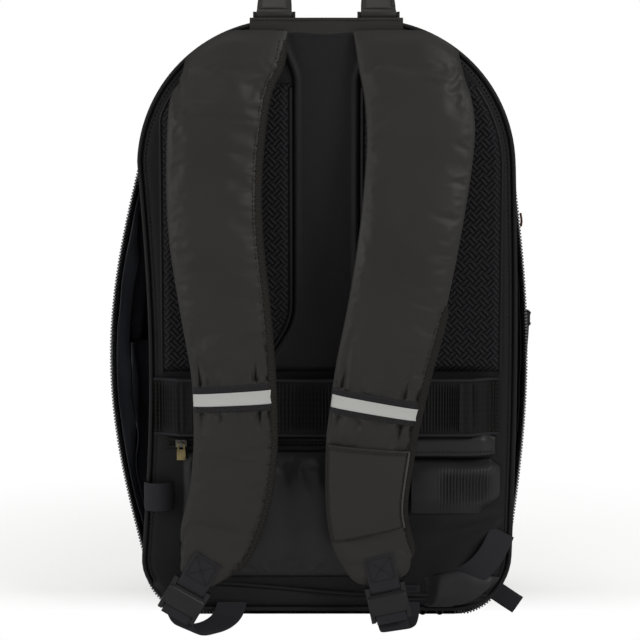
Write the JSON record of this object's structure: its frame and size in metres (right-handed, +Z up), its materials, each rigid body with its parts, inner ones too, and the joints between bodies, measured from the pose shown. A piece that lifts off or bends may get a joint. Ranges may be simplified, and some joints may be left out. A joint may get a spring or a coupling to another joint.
{
  "type": "racket backpack",
  "caption": "Clamshell racket backpack with padded shoulder straps, mesh back panel, luggage band and side pocket.",
  "frame": {"origin": "middle of the flat base, on the surface it stands on", "axes": "+Z up, -Y towards the wearer's back and the straps, +X to the right seen from the strap side"},
  "size_m": [0.3481, 0.248, 0.523],
  "materials": {
    "bag_fabric": "matt coated polyester",
    "lining": "thin glossy polyester",
    "mesh": "spacer mesh",
    "strap_fabric": "smooth coated fabric",
    "webbing": "ribbed polyester webbing",
    "foam": "closed-cell foam, stated as fabric",
    "board": "polyethylene sheet",
    "plastic": "moulded acetal",
    "zip": "nylon coil",
    "metal": "plated zinc",
    "gold_metal": "plated zinc, pale gold",
    "reflector": "retroreflective tape",
    "tag": "brown tab"
  },
  "bodies": {
    "shell": {"base_panel": "bag_fabric", "side_panel_left": "bag_fabric", "side_panel_right": "bag_fabric", "top_panel": "bag_fabric", "front_panel": "bag_fabric", "shell_lining": "lining", "base_board": "board", "racket_divider": "lining", "shell_zip": "zip", "zip_end_tag": "tag", "hinge_piping": "bag_fabric", "corner_tail": "webbing", "lining_pocket_left": "lining", "side_pocket_right": "bag_fabric", "side_pocket_hem": "bag_fabric", "front_pocket": "bag_fabric", "front_pocket_zip": "zip"},
    "back_half": {"door_gusset": "bag_fabric", "back_panel": "bag_fabric", "back_board": "board", "laptop_sleeve": "lining", "door_zip": "zip", "door_welt": "bag_fabric", "mesh_pad_left": "mesh", "mesh_pad_right": "mesh", "spine_channel": "bag_fabric", "luggage_band": "webbing", "lower_back_pad": "bag_fabric", "ribbed_panel_right": "webbing", "harness_yoke": "strap_fabric", "handle_pins": "webbing", "side_loop_left": "webbing", "side_webbing_right": "webbing", "back_pocket_zip": "zip", "adjuster_left": "webbing", "adjuster_right": "webbing"},
    "front_zip_slider": {"front_slider": "metal"},
    "front_zip_pull": {"front_pull": "metal"},
    "back_zip_slider": {"back_slider": "metal"},
    "back_zip_pull": {"back_pull": "gold_metal"},
    "inner_slider": {"zip_slider_inner": "metal"},
    "inner_pull": {"zip_pull_inner": "metal"},
    "outer_slider": {"zip_slider_outer": "metal"},
    "outer_pull": {"zip_pull_outer": "metal"},
    "handle": {"grab_handle": "strap_fabric"},
    "strap_left": {"strap_left_cover": "strap_fabric", "strap_left_foam": "foam", "strap_left_mesh": "mesh", "strap_left_reflector": "reflector", "strap_left_tab": "webbing"},
    "strap_right": {"strap_right_cover": "strap_fabric", "strap_right_foam": "foam", "strap_right_mesh": "mesh", "strap_right_reflector": "reflector", "strap_right_pocket": "strap_fabric", "strap_right_tab": "webbing"},
    "lock_left": {"ladder_lock_left": "plastic"},
    "lock_right": {"ladder_lock_right": "plastic"}
  },
  "joints": [
    {"name": "back_half_open", "type": "hinge", "parent": "shell", "child": "back_half", "pos_m": [0, -0.0682, 0.0034], "axis": [1, 0, 0], "range_deg": [0, 90]},
    {"name": "strap_left_swing", "type": "hinge", "parent": "back_half", "child": "strap_left", "pos_m": [-0.07, -0.1034, 0.47], "axis": [-1, 0, 0], "range_deg": [0, 12], "deforming": ["adjuster_left"]},
    {"name": "strap_right_swing", "type": "hinge", "parent": "back_half", "child": "strap_right", "pos_m": [0.062, -0.1034, 0.47], "axis": [-1, 0, 0], "range_deg": [0, 12], "deforming": ["adjuster_right"]},
    {"name": "lock_left_tilt", "type": "hinge", "parent": "strap_left", "child": "lock_left", "pos_m": [-0.1065, -0.13595, 0.04067], "axis": [0.866, 0, -0.5], "range_deg": [-15, 15]},
    {"name": "lock_right_tilt", "type": "hinge", "parent": "strap_right", "child": "lock_right", "pos_m": [0.04644, -0.13595, 0.04011], "axis": [0.9781, 0, 0.2079], "range_deg": [-15, 15]},
    {"name": "handle_fold", "type": "hinge", "parent": "back_half", "child": "handle", "pos_m": [0, -0.096, 0.49], "axis": [1, 0, 0], "range_deg": [0, 95]},
    {"name": "back_zip_slide", "type": "slide", "parent": "back_half", "child": "back_zip_slider", "axis": [1, 0, 0], "range_m": [0, 0.225]},
    {"name": "back_pull_swing", "type": "hinge", "parent": "back_zip_slider", "child": "back_zip_pull", "pos_m": [-0.116, -0.1087, 0.1505], "axis": [1, 0, 0], "range_deg": [-40, 0]},
    {"name": "front_zip_slide", "type": "slide", "parent": "shell", "child": "front_zip_slider", "axis": [1, 0, 0], "range_m": [0, 0.168]},
    {"name": "front_pull_swing", "type": "hinge", "parent": "front_zip_slider", "child": "front_zip_pull", "pos_m": [-0.084, 0.079, 0.2577], "axis": [1, 0, 0], "range_deg": [0, 60]},
    {"name": "inner_slide", "type": "slide", "parent": "back_half", "child": "inner_slider", "axis": [1, 0, 0], "range_m": [0, 0.004]},
    {"name": "inner_pull_swing", "type": "hinge", "parent": "inner_slider", "child": "inner_pull", "pos_m": [0.08, -0.0727, 0.0096], "axis": [1, 0, 0], "range_deg": [-35, 0]},
    {"name": "outer_slide", "type": "slide", "parent": "back_half", "child": "outer_slider", "axis": [1, 0, 0], "range_m": [0, 0.006]},
    {"name": "outer_pull_swing", "type": "hinge", "parent": "outer_slider", "child": "outer_pull", "pos_m": [0.094, -0.0727, 0.0096], "axis": [1, 0, 0], "range_deg": [-35, 0]}
  ]
}
